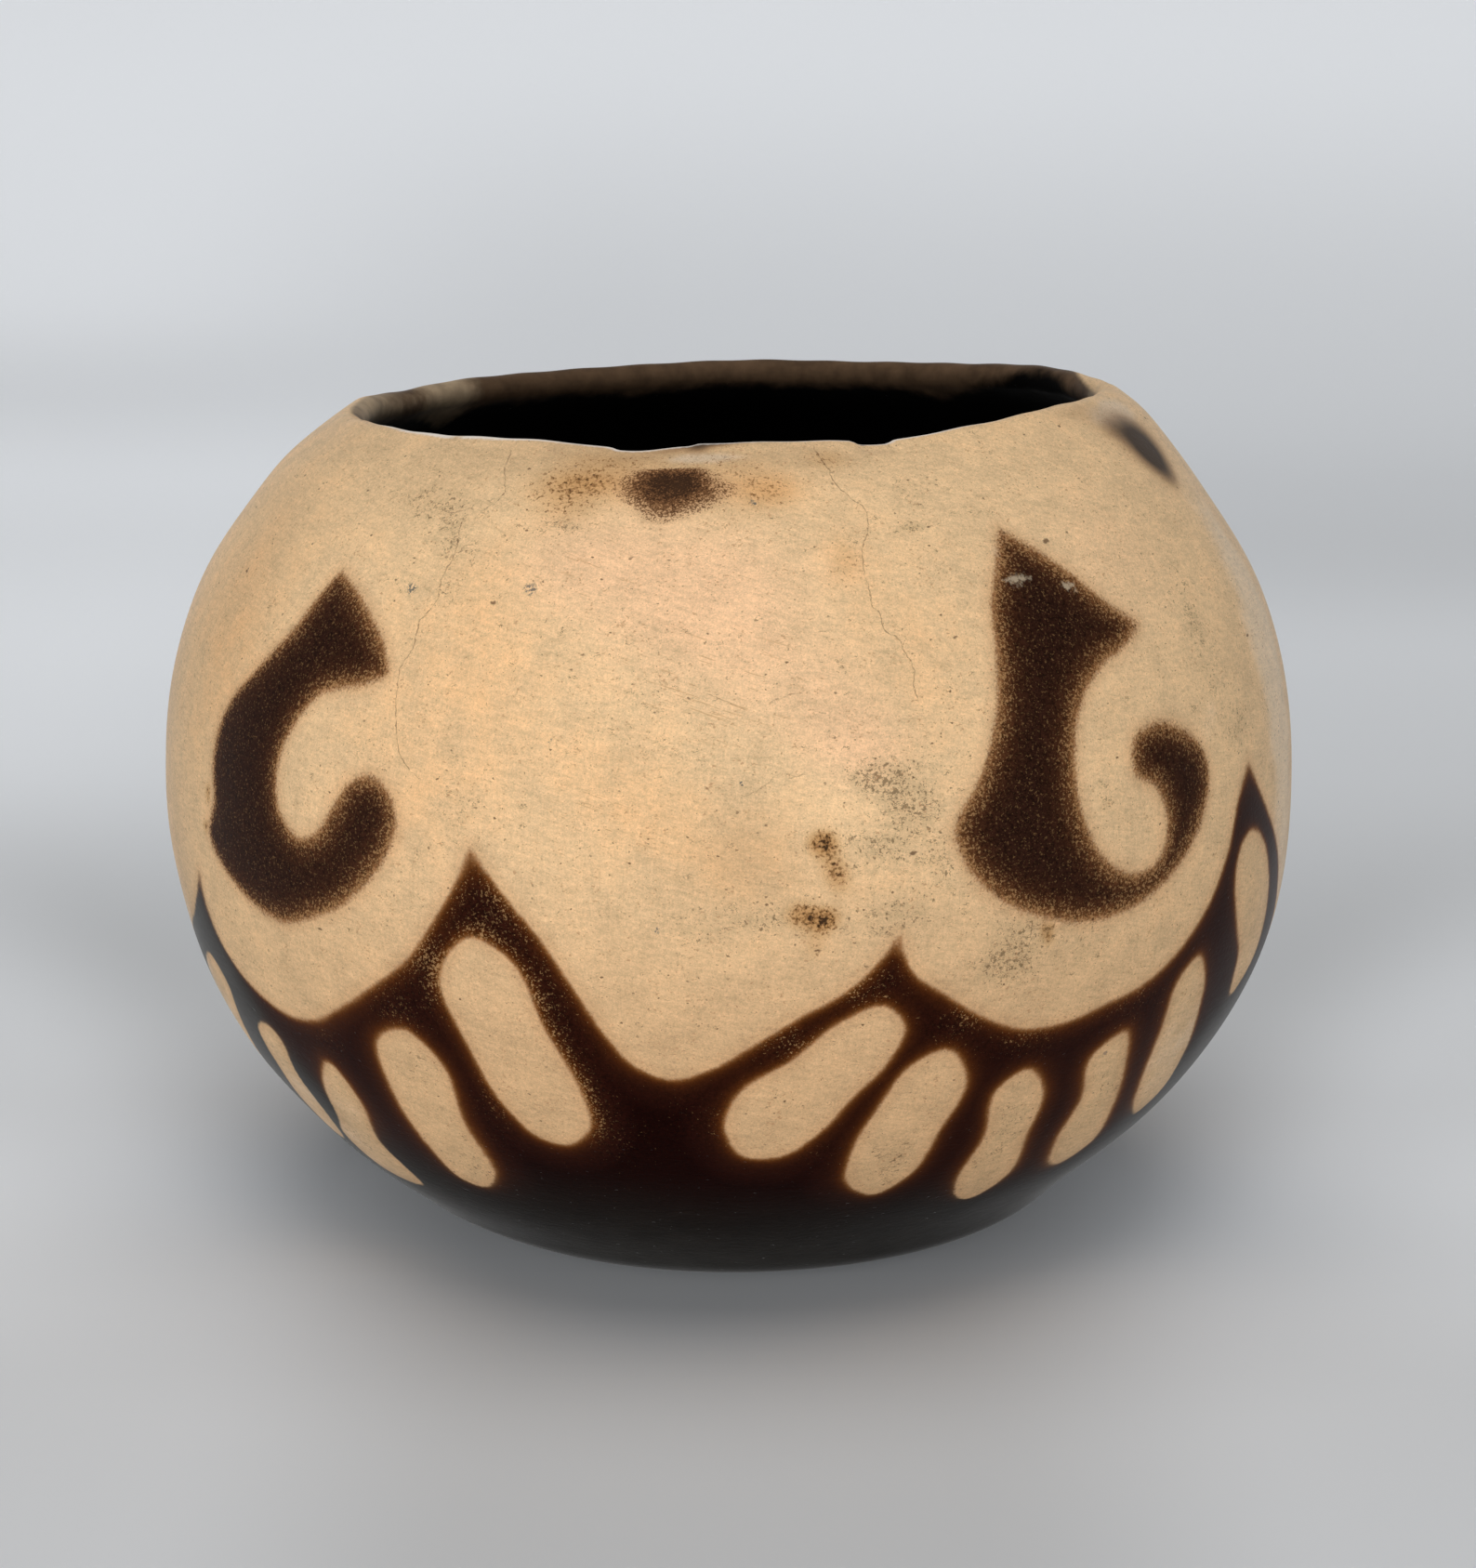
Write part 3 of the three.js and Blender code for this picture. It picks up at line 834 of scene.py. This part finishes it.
def clay_mesh(name, outer_ways, inner_ways):
    """One closed piece of clay: its outer face, its inner face and the seams that join them."""
    ways = np.concatenate([outer_ways, inner_ways])
    rows = len(ways)
    last_outer = len(outer_ways) - 1
    has_axis = outer_ways[0] <= -FOOT_RADIUS
    has_lip = outer_ways[-1] > LIP_START
    way = np.repeat(ways, COLUMNS)
    turn = np.tile(np.arange(COLUMNS) * 2 * math.pi / COLUMNS - math.pi, rows)
    point = clay_point(way, turn)
    normal = clay_normal(way, turn)

    girth = 2 * math.pi * np.hypot(point[:, 0], point[:, 1]).max()
    seam_height = (LAP + WALL_THICKNESS) / girth
    bake_map = BakeMap([
        ((outer_ways[-1] - outer_ways[0]) / girth, 2 if has_axis else 4),
        (seam_height, 1),
        ((inner_ways[-1] - inner_ways[0]) / girth, 1 if has_axis else 2),
        (seam_height, 1),
    ])
    strips = [
        list(range(last_outer + 1)),
        [last_outer, last_outer + 1],
        list(range(last_outer + 1, rows)),
        [rows - 1, 0],
    ]
    smooth_strips = [True, has_lip, True, False]
    if has_axis:
        strips.pop()
    faces = []
    corners = []
    smooth = []
    for number, strip in enumerate(strips):
        corners.append(bake_map.corners(number, np.linspace(0, 1, len(strip))).reshape(-1, 4, 2))
        for first, second in zip(strip, strip[1:]):
            faces.append(ring_quads(first, second))
            smooth.append(np.full(COLUMNS, smooth_strips[number]))
    faces = np.concatenate(faces)
    corners = np.concatenate(corners)
    smooth = np.concatenate(smooth)

    side = np.cross(point[faces[:, 2]] - point[faces[:, 0]], point[faces[:, 3]] - point[faces[:, 1]])
    side /= np.linalg.norm(side, axis=1, keepdims=True)
    corner_normals = np.where(smooth[:, None, None], normal[faces], side[:, None, :])

    number = np.arange(len(point))
    if has_axis:
        number[:COLUMNS] = 0
        number[-COLUMNS:] = len(point) - 1
    kept, faces = np.unique(number[faces], return_inverse=True)
    faces = faces.reshape(-1, 4)
    distinct = faces != np.roll(faces, 1, axis=1)

    mesh = bpy.data.meshes.new(name)
    outlines = [face[there].tolist() for face, there in zip(faces, distinct)]
    mesh.from_pydata((point[kept] * MM).tolist(), [], outlines)
    mesh.polygons.foreach_set("use_smooth", smooth)
    layer = mesh.uv_layers.new(name="OFBake")
    layer.uv.foreach_set("vector", corners[distinct].astype(np.float32).ravel())
    for fact, values in surface_facts(way[kept], turn[kept], point[kept]).items():
        attribute = mesh.attributes.new(fact, "FLOAT", "POINT")
        attribute.data.foreach_set("value", values.astype(np.float32))
    mesh.normals_split_custom_set(corner_normals[distinct].tolist())
    mesh.update()
    return mesh


class Flow:
    """What comes out of a node: a number, a place or a colour. Working with it adds more nodes."""

    def __init__(self, look, socket):
        self.look = look
        self.socket = socket

    def sibling(self, output):
        """Something else that comes out of the same node."""
        return Flow(self.look, self.socket.node.outputs[output])

    def maths(self, operation, *others):
        return self.look.add("Math", dict(enumerate((self, *others))), operation=operation)

    def __add__(self, other):
        return self.maths("ADD", other)

    def __sub__(self, other):
        return self.maths("SUBTRACT", other)

    def __rsub__(self, other):
        return self.look.add("Math", {0: other, 1: self}, operation="SUBTRACT")

    def __mul__(self, other):
        return self.maths("MULTIPLY", other)

    def __truediv__(self, other):
        return self.maths("DIVIDE", other)

    def __pow__(self, other):
        return self.maths("POWER", other)

    def __abs__(self):
        return self.maths("ABSOLUTE")

    def larger(self, other):
        return self.maths("MAXIMUM", other)

    def smaller(self, other):
        return self.maths("MINIMUM", other)

    def swing(self, amount):
        """Noise as a move to both sides of nothing."""
        return self.maths("MULTIPLY_ADD", amount, -amount / 2)

    def rises(self, low, high):
        """Runs from 0 to 1 as the number runs from low to high."""
        inputs = {"Value": self, "From Min": low, "From Max": high}
        return self.look.add("MapRange", inputs, "Result", interpolation_type="SMOOTHSTEP")

    def falls(self, low, high):
        return 1 - self.rises(low, high)

    def above(self, least, edge):
        """Where noise stands above a level; a lower level gives more and larger flecks."""
        return (self - least).rises(0, edge)

    def layered(self, layers):
        """Colour by depth in mm, from a list of depths and colours."""
        deepest = layers[-1][0]
        colour = self.look.add("ValToRGB", {0: self * (1 / deepest)})
        stops = colour.socket.node.color_ramp.elements
        stops[0].color = seen(layers[0][1])
        stops[1].color = seen(layers[-1][1])
        for at, layer in layers[1:-1]:
            stops.new(at / deepest).color = seen(layer)
        return colour

    def under(self, colour, share):
        """This colour with another laid over it by a share."""
        return self.look.blend(share, self, seen(colour))

    def scaled(self, amount):
        return self.look.scaled(self, amount)

    def vector(self, operation, other, output=0):
        return self.look.add("VectorMath", {0: self, 1: other}, output, operation=operation)

    def stretched(self, *shares):
        return self.vector("MULTIPLY", shares)

    def noise(self, per_mm, detail=2, roughness=0.55):
        inputs = {"Vector": self, "Scale": per_mm, "Detail": detail, "Roughness": roughness}
        return self.look.add("TexNoise", inputs, "Fac")

    def shaken(self, per_mm, reach):
        """A place moved about by noise, so that what is laid out from it gets uneven outlines."""
        moves = self.noise(per_mm, 2, 0.5).sibling("Color")
        return self.vector("ADD", moves.vector("SUBTRACT", (0.5, 0.5, 0.5)).scaled(2 * reach))

    def dots(self, per_mm, share, reach):
        """Round spots of many sizes, in a share of the cells; reach is the largest radius, in cells."""
        distance = self.look.add("TexVoronoi", {"Vector": self, "Scale": per_mm}, "Distance")
        chance = self.look.add("SeparateColor", {0: distance.sibling("Color")})
        radius = chance * (reach / share) - reach * (1 - share) / share
        return (radius - distance).rises(-0.01, 0.05)

    def squiggles(self, per_mm, least):
        """Short crooked lines, where noise crosses its middle and a second noise stands above a level."""
        crossing = abs(self.noise(per_mm, 2.5, 0.6) - 0.5)
        return crossing.falls(0.004, 0.024) * self.noise(0.6 * per_mm, 1).above(least, 0.1)


class Look:
    """A material under construction."""

    def __init__(self, name):
        self.material = bpy.data.materials.new(name)
        self.material.use_nodes = True
        self.tree = self.material.node_tree
        self.tree.nodes.clear()

    def add(self, kind, inputs=(), output=0, **settings):
        """Adds a node and gives one of its outputs, if it has any."""
        node = self.tree.nodes.new("ShaderNode" + kind)
        for setting, value in settings.items():
            setattr(node, setting, value)
        for key, value in dict(inputs).items():
            if isinstance(value, Flow):
                self.tree.links.new(value.socket, node.inputs[key])
            else:
                node.inputs[key].default_value = value
        return Flow(self, node.outputs[output]) if len(node.outputs) else None

    def place(self):
        return self.add("TexCoord", output="Object")

    def fact(self, name):
        return self.add("Attribute", output="Fac", attribute_name=name)

    def scaled(self, vector, amount):
        return self.add("VectorMath", {0: vector, "Scale": amount}, operation="SCALE")

    def blend(self, share, first, second):
        """The second colour laid over the first by a share."""
        return self.add("Mix", {0: share, 6: first, 7: second}, 2, data_type="RGBA")

    def between(self, share, first, second):
        return self.add("Mix", {0: share, 2: first, 3: second}, data_type="FLOAT")


def seen(colour):
    """A colour as it looks on a screen, turned into the light that a shader works with."""
    shares = [channel / 255 for channel in colour]
    light = [c / 12.92 if c <= 0.04045 else ((c + 0.055) / 1.055) ** 2.4 for c in shares]
    return (*light, 1)


def slip_colour(look, place, streak, mottle, grain, stipple, broad):
    """Cream slip: warm and olive clouds, burnishing streaks, pits, specks, stains, scuffs and marks, with
    painted shade low on the wall and painted light, shade and sheen at the sides.
    """
    warm = look.fact("orange") + broad.swing(0.5) + mottle.swing(0.9)
    colour = look.blend(warm.rises(-0.1, 1.1), seen(OLIVE_SLIP), seen(ORANGE_SLIP))
    pink = look.fact("pink") + mottle.swing(0.5)
    colour = colour.under(PINK_SLIP, pink.rises(0, 1.1) * 0.8)
    dull = look.fact("dullness") + mottle.swing(0.5)
    colour = colour.under(DULL_SLIP, dull.rises(0, 1.2) * 0.7)
    # Painted shade: the slip darkens towards the bottom, less so at the sides
    colour = colour.under(LOW_SLIP_IN_SHADE, look.fact("low_shade") * 0.85)
    colour = colour.under(SHADED_SLIP, look.fact("paint").rises(-2.8, -0.2) * 0.35)
    # Pale where the clay is rubbed bare, and a painted sheen in the broad patches at the sides
    bare = look.fact("bare") + mottle.swing(0.8)
    colour = colour.under(PALE_CLAY_AND_SHEEN, bare.rises(0.3, 0.9) * 0.6)

    slant = look.add("VectorRotate", {"Vector": place, "Angle": BURNISH_LEAN}, rotation_type="Y_AXIS")
    fibre = slant.stretched(0.3, 0.3, 2.6).noise(1, 3, 0.7)
    threads = place.stretched(2.4, 2.4, 0.22).noise(1, 2, 0.6)
    fine = place.noise(4.2, 1, 0.7)
    light = streak.swing(0.36) + fibre.swing(0.36) + threads.swing(0.2) + fine.swing(0.58)
    # Painted light and shade from the tone patches come in here too
    light = light + mottle.swing(0.54) + grain.swing(0.4) + look.fact("tone_and_painted_light")
    colour = colour.scaled(light + 1)
    lines = slant.stretched(0.14, 0.14, 2.2).noise(1, 3, 0.7).above(0.6, 0.05)
    lines = lines * look.fact("burnish").rises(-0.2, 0.8)
    colour = colour.under(MARK_DARK, lines * 0.45)

    stain = look.fact("stain")
    colour = colour.under(STAIN_TAN, stain.rises(0.03, 0.9) * 0.75)
    rough_stain = stain + grain.swing(2.4) + stipple.swing(1.6)
    colour = colour.under(STAIN_BROWN, rough_stain.rises(0.45, 1) * 0.8)
    colour = colour.under(STAIN_CORE, rough_stain.rises(0.95, 1.25) * 0.95)

    grey = look.fact("grey_specks")
    cloudy = grey + place.noise(0.6, 3).swing(1.8)
    colour = colour.under(SMEAR_GREY, cloudy.rises(0.1, 1.2) * 0.26)
    specks = place.noise(1.3, 3, 0.6).above(grey * -0.14 + 0.68, 0.07)
    fine_specks = stipple.above(grey * -0.13 + 0.7, 0.07)
    crooked = place.stretched(0.6, 0.6, 1).squiggles(1.1, grey * -0.24 + 0.66)
    specks = specks.larger(fine_specks * 0.8).larger(crooked)
    colour = colour.under(SPECK_GREY, specks * 0.66)

    crowd = place.noise(0.25).swing(0.3)
    faint = place.stretched(0.8, 0.8, 1.1).noise(2.4, 1).above(0.635 - crowd, 0.14)
    colour = colour.under(PIT_FAINT, faint * 0.6)
    ragged = place.shaken(1.6, 0.3)
    small = ragged.stretched(0.8, 0.8, 1.2).dots(0.9, 0.5, 0.2)
    large = ragged.stretched(0.5, 0.5, 1.1).dots(0.3, 0.3, 0.12)
    pits = (small * mottle.rises(0.34, 0.6)).larger(large)
    colour = colour.under(PIT_DARK, pits * 0.8)

    up_shaken = look.fact("up_wall") + grain.swing(1.2)
    cloud = look.fact("fire_cloud") * up_shaken.falls(CLOUD_TOP - 0.5, CLOUD_TOP + 0.4)
    colour = colour.under(CLOUD_TAN, cloud.rises(0.02, 0.8) * 0.8)
    grainy = place.noise(3.4, 2, 0.7).swing(3.2) + grain.swing(1.2)
    smoky = (cloud * 1.3 + grainy) * cloud.rises(0.03, 0.3)
    colour = colour.under(CLOUD_BROWN, smoky.rises(0.3, 0.75) * 0.85)
    colour = colour.under(CLOUD_DARK, smoky.rises(0.75, 1.5) * 0.9)
    smooth = look.fact("smooth_smoke") + mottle.swing(0.4)
    colour = colour.under(CLOUD_TAN, smooth.rises(-0.05, 0.7) * 0.5)
    colour = colour.under(CLOUD_GREY, smooth.rises(0.1, 1.3) * 0.97)

    uneven = place.shaken(1.1, 0.7)
    scratchy = place.noise(2, 3, 0.7).above(0.46, 0.08)
    for kind, marks in MARKS.items():
        for degrees, up, across in marks:
            middle = clay_point(np.array([up]), np.radians([degrees]))[0]
            away = uneven.vector("DISTANCE", middle.tolist(), "Value")
            share = away.falls(0.3 * across, 0.6 * across)
            if kind == "blue_grey":
                share = share * scratchy
            colour = colour.under(MARK_COLOURS[kind], share * 0.85)
    return colour, pits


def smoke_colour(look, place, streak, mottle, broad, depth):
    """Smoke painting: golden where it is thin, near-black where it is deep, and speckled with slip; soot
    and grey dust at the foot, the grey partly a painted sheen.
    """
    speckle = look.fact("speckle")
    climb = look.fact("soot_and_sheen_climb")
    depth = depth + mottle.swing(1.2) * depth.rises(0.5, 3)
    depth = climb * 0.06 * depth.rises(0, 1.5) + depth
    colour = look.blend(look.fact("in_scroll"), depth.layered(GROUND_SMOKE), depth.layered(SCROLL_SMOKE))

    near = depth.falls(0.4, 4.5)
    density = speckle * (near * 0.4 + 0.6)
    light_flecks = place.noise(2.4, 2.5, 0.75).above(density * -0.24 + 0.7, 0.08)
    fleck = look.scaled(seen(PAINT_FLECK)[:3], near * 0.5 + 0.3)
    rough = place.noise(1.5, 4, 1) * 2
    uneven = (rough ** (speckle * 2.5 + 1) * 0.95).smaller(1.4)
    colour = look.blend(light_flecks * 0.85, colour.scaled(uneven), fleck)

    up_wall = look.fact("up_wall")
    low = up_wall + broad.swing(8) - climb
    sooted = low.falls(22, 40)
    # Grey dust low down and up the sides, partly a painted sheen of the floor's light
    dust_and_sheen = (climb * -0.4 + low + streak.swing(14)).falls(2, 27)
    soot = look.blend(dust_and_sheen, seen(FOOT_SOOT), seen(FOOT_DUST_AND_SHEEN))
    # Painted shade beside the foot comes in through the tone patches
    light = streak.swing(0.7) + mottle.swing(1) + 1 + look.fact("tone_and_painted_light")
    # Painted shade: the soot darkens along the foot's lowest edge
    shade_at_foot = up_wall.rises(-1, 5) * 0.45 + 0.55
    return look.blend(sooted, colour, soot.scaled(light * shade_at_foot)), sooted


def clay_look(name):
    look = Look(name)
    place = look.place().scaled(1 / MM)
    streak = place.shaken(0.12, 1.6).stretched(0.3, 0.3, 1.9).noise(0.8, 4, 0.68)
    mottle = place.noise(0.16, 4, 0.6)
    grain = place.noise(1.5, 3)
    stipple = place.noise(2.8)
    broad = place.noise(0.025)

    softness = look.fact("softness")
    in_scroll = look.fact("in_scroll")
    wobble = place.noise(0.5).swing(0.4) + grain.swing(0.5)
    shaking = stipple.swing(1.4) * (in_scroll * 0.6 + 0.4)
    edge = look.fact("paint") + (wobble + softness * shaking)
    near = edge / softness
    slip, pits = slip_colour(look, place, streak, mottle, grain, stipple, broad)
    depth = look.between(in_scroll, near, edge)
    smoke, sooted = smoke_colour(look, place, streak, mottle, broad, depth)
    painted = near.rises(-0.5, 0.2)
    colour = look.blend(painted, slip, smoke)
    rubbed = look.fact("rubbed") + place.noise(1.1, 4, 0.7).swing(2)
    colour = colour.under(RUBBED_CLAY, rubbed.rises(0.55, 1.1) * 0.8)

    off_crack = abs(look.fact("crack") + place.noise(0.8, 4, 0.6).swing(1))
    width = grain * 0.34 - 0.12
    open_here = look.fact("crack_here") * place.noise(0.4).rises(0.3, 0.42)
    crack = (off_crack - width).falls(-0.06, 0.07) * open_here
    colour = colour.under(CRACK_DARK, crack * 0.6)

    past_lip = look.fact("past_lip")
    # Painted highlight: a pale line along the crest of the near lip
    lip_highlight = look.fact("lip_highlight")
    highlight_depth = lip_highlight * 1.6 + (past_lip + grain.swing(0.8))
    highlighted = highlight_depth.rises(-2, -1.2) * lip_highlight.rises(0.1, 0.5) * mottle.rises(0.25, 0.5)
    colour = colour.under(LIP_HIGHLIGHT, highlighted * 0.9)
    pale = (look.fact("pale_inside") + mottle.swing(0.9)).rises(0.2, 0.8)
    inner = look.blend(pale, seen(INNER_BROWN), seen(INNER_PALE))
    inner = inner.scaled(place.noise(0.3, 3).swing(1.3) + 1)
    smoke_start = look.fact("smoked_lip") * -3.6 + 0.8
    past_start = past_lip + mottle.swing(1.6) - smoke_start
    colour = look.blend(past_start.rises(-0.6, 0.6), colour, inner)
    ragged_lip = past_lip + place.noise(0.2, 4).swing(5)
    soot_start = look.fact("unsooted") + UNSOOTED_DEPTH
    soot = (ragged_lip - soot_start).rises(-2.4, 1.2)
    deep_inside = (past_lip + mottle.swing(14)).rises(24, 60)
    deep_soot = look.scaled(seen(DEEP_SOOT)[:3], streak.swing(1) + 1)
    colour = look.blend(soot, colour, look.blend(deep_inside, seen(INNER_SOOT), deep_soot))

    roughness = look.between(painted, streak.swing(0.25) + 0.62, grain.swing(0.2) + 0.5)
    roughness = look.between(painted * sooted, roughness, streak.swing(0.2) + 0.42)
    height = streak * 0.5 + grain * 0.3 - (pits + crack) * 0.6
    shader = look.add("BsdfPrincipled", {
        "Base Color": colour,
        "Roughness": look.between(soot, roughness, 0.9),
        "Specular IOR Level": 0.02,
        "Sheen Weight": 0.19,
        "Sheen Roughness": 0.3,
        "Normal": look.add("Bump", {"Strength": 0.5, "Distance": 0.0002, "Height": height}),
    })
    look.add("OutputMaterial", {"Surface": shader})
    return look.material


LOOKS = {slot: clay_look(slot) for slot in ("smoked_clay", "cream_slip")}
for piece_name, slot, outer_ways, inner_ways in clay_pieces():
    piece = bpy.data.objects.new(piece_name + "_clay", clay_mesh(piece_name, outer_ways, inner_ways))
    bpy.context.scene.collection.objects.link(piece)
    piece.data.materials.append(LOOKS[slot])
    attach(piece, "root")
    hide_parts(piece_name)


# Floor and backdrop: one pale sheet that sweeps up behind the bowl
FLOOR_FRONT = -3.0
SWEEP_START = 0.9
SWEEP_RADIUS = 0.9
BACKDROP_TOP = 3.0
FLOOR_HALF_WIDTH = 3.0
FLOOR_COLOUR = (215, 217, 219)
GLOW_COLOUR = (245, 249, 255)


def floor_glow(look):
    """Light that is seen on the sheet but lights nothing: more of it behind, aloft and to the sides."""
    across = look.add("SeparateXYZ", {0: look.place()})
    back, up = across.sibling("Y"), across.sibling("Z")
    leftwards = across * -1
    glow = back.rises(0, 1.1) * 0.27 + up.rises(0.02, 0.16) * 0.12
    behind = back.rises(0.15, 0.35) * back.falls(0.5, 0.8)
    widening = back.larger(-0.05) * -0.4 + abs(across)
    beside = widening.rises(0.05, 0.1) * back.falls(0.1, 0.3) * (back.rises(-0.06, 0) * 0.05 + 0.1)
    in_shadow = back.rises(-0.1, -0.05) * back.falls(0, 0.06)
    far_left = leftwards.rises(0.02, 0.2) * back.rises(0.14, 0.4) * back.falls(0.9, 1.15)
    high_left = leftwards.rises(0.05, 0.3) * back.rises(1.05, 1.2) * back.falls(1.2, 1.45)
    far_right = across.rises(0.02, 0.15) * back.rises(0.5, 0.7) * back.falls(0.9, 1.2)
    glow = glow + behind * 0.08 + beside + in_shadow * 0.05
    return glow + far_left * 0.12 + high_left * 0.1 - far_right * 0.04


def backdrop():
    steps = 24
    profile = [(FLOOR_FRONT, 0.0)]
    for i in range(steps + 1):
        turn = math.pi / 2 * i / steps
        profile.append((SWEEP_START + SWEEP_RADIUS * math.sin(turn), SWEEP_RADIUS * (1 - math.cos(turn))))
    profile.append((SWEEP_START + SWEEP_RADIUS, BACKDROP_TOP))
    points = [(x, y, z) for y, z in profile for x in (-FLOOR_HALF_WIDTH, FLOOR_HALF_WIDTH)]
    faces = [(2 * i, 2 * i + 1, 2 * i + 3, 2 * i + 2) for i in range(len(profile) - 1)]
    mesh = bpy.data.meshes.new("backdrop")
    mesh.from_pydata(points, [], faces)
    mesh.polygons.foreach_set("use_smooth", [True] * len(faces))
    sheet = bpy.data.objects.new("backdrop", mesh)
    bpy.context.scene.collection.objects.link(sheet)
    look = Look("backdrop")
    plain = look.add("BsdfPrincipled", {
        "Base Color": seen(FLOOR_COLOUR), "Roughness": 0.9, "Specular IOR Level": 0.1,
    })
    glowing = look.add("Emission", {"Color": seen(GLOW_COLOUR), "Strength": floor_glow(look)})
    lit = look.add("AddShader", {0: plain, 1: glowing})
    rays = look.add("LightPath", output="Is Camera Ray")
    looked_at = rays.larger(rays.sibling("Is Glossy Ray")).larger(rays.sibling("Is Transmission Ray"))
    look.add("OutputMaterial", {"Surface": look.add("MixShader", {0: looked_at, 1: plain, 2: lit})})
    mesh.materials.append(look.material)


def lamp(name, place, aim, width, height, power):
    light = bpy.data.lights.new(name, "AREA")
    light.shape = "ELLIPSE"
    light.size = width
    light.size_y = height
    light.energy = power
    holder = bpy.data.objects.new(name, light)
    holder.location = place
    holder.rotation_euler = (Vector(aim) - Vector(place)).to_track_quat("-Z", "Y").to_euler()
    bpy.context.scene.collection.objects.link(holder)


backdrop()
BOWL_MIDDLE = (0, 0, 0.07)
lamp("overhead", (0, -0.1, 1.5), BOWL_MIDDLE, 1.5, 1.5, 9.5)
lamp("front", (0, -1.6, 0.14), BOWL_MIDDLE, 1.4, 0.24, 13)
lamp("left", (-1.3, -0.7, 0.16), BOWL_MIDDLE, 0.9, 0.28, 3.4)

world = bpy.data.worlds.new("room")
world.use_nodes = True
world.node_tree.nodes["Background"].inputs["Color"].default_value = (1, 1, 1, 1)
world.node_tree.nodes["Background"].inputs["Strength"].default_value = 0.2
bpy.context.scene.world = world
bpy.context.scene.view_settings.view_transform = "Standard"

# The photograph's viewpoint: from the front, a little above the rim
CAMERA_DISTANCE = 0.650
CAMERA_HEIGHT = 0.2015
CAMERA_PITCH = 11.6
PHOTO_WIDTH = 1588
PHOTO_HEIGHT = 1687
FOCAL_PIXELS = 4349
AXIS_PIXEL = 783

camera = bpy.data.cameras.new("camera")
camera.sensor_width = 36
camera.lens = FOCAL_PIXELS * camera.sensor_width / PHOTO_HEIGHT
camera.shift_x = (PHOTO_WIDTH / 2 - AXIS_PIXEL) / PHOTO_HEIGHT
viewpoint = bpy.data.objects.new("camera", camera)
viewpoint.location = (0, -CAMERA_DISTANCE, CAMERA_HEIGHT)
viewpoint.rotation_euler = (math.radians(90 - CAMERA_PITCH), 0, 0)
bpy.context.scene.collection.objects.link(viewpoint)
bpy.context.scene.camera = viewpoint
